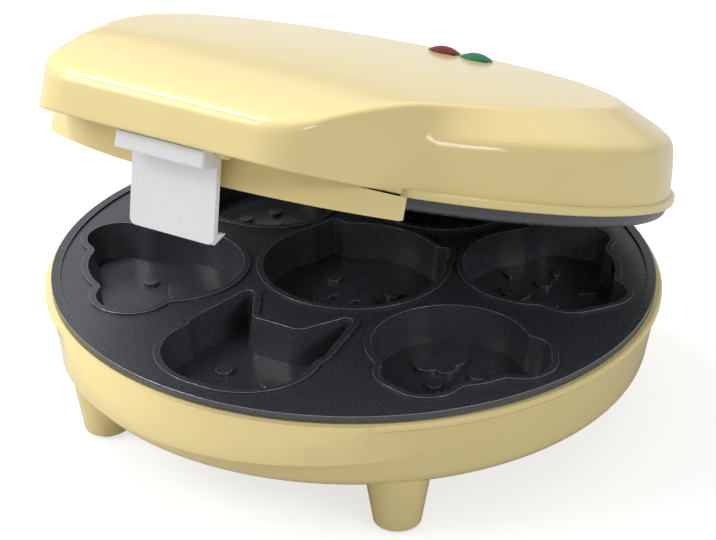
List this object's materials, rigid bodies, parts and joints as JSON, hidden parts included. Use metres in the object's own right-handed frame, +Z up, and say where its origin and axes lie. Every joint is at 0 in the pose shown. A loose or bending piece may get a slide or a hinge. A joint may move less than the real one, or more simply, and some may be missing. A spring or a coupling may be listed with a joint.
{
  "type": "cake maker",
  "caption": "Round countertop cake maker with animal-head moulds in both plates, a hinged lid with a broad handle, a swinging latch and a bowl-shaped base on short feet.",
  "frame": {"origin": "on the table surface, under the middle of the object's outer box as it stands with its lid ajar", "axes": "+Z up, +X to the right seen from the handle's side, the handle and latch towards -Y, the hinge at +Y"},
  "size_m": [0.2144, 0.234, 0.1544],
  "materials": {
    "cream_plastic": "smooth satin, warm cream",
    "foot_rubber": "matte grey",
    "inlet_rubber": "matte black",
    "pin_steel": "turned",
    "reflector_sheet": "bright rolled sheet",
    "element_sheath": "oxidised",
    "coated_plate": "dark non-stick coating, satin",
    "screw_steel": "zinc plated",
    "red_lens": "clear moulded, red",
    "green_lens": "clear moulded, green",
    "lamp_glass": "clear",
    "latch_plastic": "smooth satin, pale grey"
  },
  "bodies": {
    "base": {"base_shell": "cream_plastic", "foot_pads": "foot_rubber", "cord_inlet": "inlet_rubber", "hinge_pins": "pin_steel", "lower_reflector": "reflector_sheet", "lower_element": "element_sheath", "lower_plate": "coated_plate", "lower_plate_screws": "screw_steel"},
    "lid": {"lid_shell": "cream_plastic", "handle_cover": "cream_plastic", "cover_screws": "screw_steel", "upper_reflector": "reflector_sheet", "upper_element": "element_sheath", "upper_plate": "coated_plate", "upper_plate_screws": "screw_steel", "red_lens": "red_lens", "green_lens": "green_lens", "neon_lamps": "lamp_glass", "latch_pin": "pin_steel"},
    "latch": {"latch": "latch_plastic"}
  },
  "joints": [
    {"name": "lid_hinge", "type": "hinge", "parent": "base", "child": "lid", "pos_m": [0, 0.1126, 0.0508], "axis": [-1, 0, 0], "range_deg": [-19.5, 75]},
    {"name": "latch_pivot", "type": "hinge", "parent": "lid", "child": "latch", "pos_m": [0, -0.10436, 0.13792], "axis": [-1, 0, 0], "range_deg": [0, 18], "stiffness_Nm_per_rad": 0.02, "springref_deg": -11.46}
  ]
}
